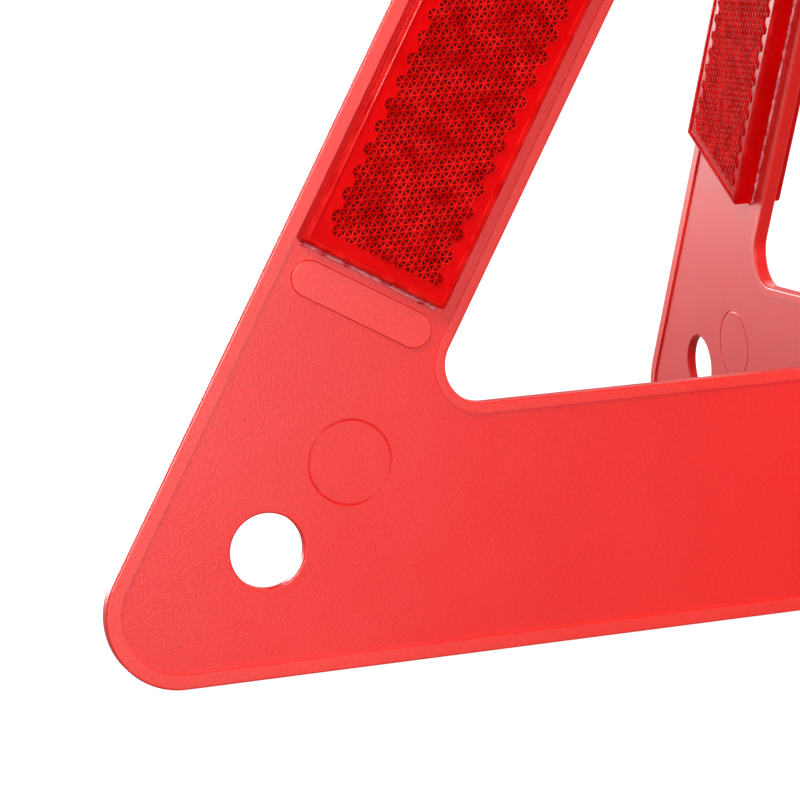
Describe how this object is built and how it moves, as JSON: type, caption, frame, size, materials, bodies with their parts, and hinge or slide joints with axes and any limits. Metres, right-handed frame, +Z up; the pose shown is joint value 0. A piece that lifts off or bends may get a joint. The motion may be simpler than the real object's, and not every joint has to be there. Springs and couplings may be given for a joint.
{
  "type": "warning triangle",
  "caption": "Self-standing road warning triangle: rounded triangular plastic panels crossed at right angles, with raised red prismatic reflectors on their arms.",
  "frame": {"origin": "on the floor, on the vertical line where the two panels cross", "axes": "+Z up; the front panel lies in the XZ plane with its front face towards -Y; the cross panel lies in the YZ plane with its front face towards +X"},
  "size_m": [0.4256, 0.4256, 0.3732],
  "materials": {
    "panel_plastic": "satin orange-red moulded plastic",
    "lens_plastic": "glossy clear red prismatic acrylic",
    "backing_plastic": "dark red plastic"
  },
  "bodies": {
    "front": {"front_panel": "panel_plastic", "front_panel_front_left_lens": "lens_plastic", "front_panel_front_left_backing": "backing_plastic", "front_panel_front_right_lens": "lens_plastic", "front_panel_front_right_backing": "backing_plastic", "front_panel_rear_left_lens": "lens_plastic", "front_panel_rear_left_backing": "backing_plastic", "front_panel_rear_right_lens": "lens_plastic", "front_panel_rear_right_backing": "backing_plastic"},
    "cross": {"cross_panel": "panel_plastic", "cross_panel_front_left_lens": "lens_plastic", "cross_panel_front_left_backing": "backing_plastic", "cross_panel_front_right_lens": "lens_plastic", "cross_panel_front_right_backing": "backing_plastic", "cross_panel_rear_left_lens": "lens_plastic", "cross_panel_rear_left_backing": "backing_plastic", "cross_panel_rear_right_lens": "lens_plastic", "cross_panel_rear_right_backing": "backing_plastic"}
  },
  "joints": [
    {"name": "cross_lift", "type": "slide", "parent": "front", "child": "cross", "axis": [0, 0, 1], "range_m": [0, 0.38]}
  ]
}
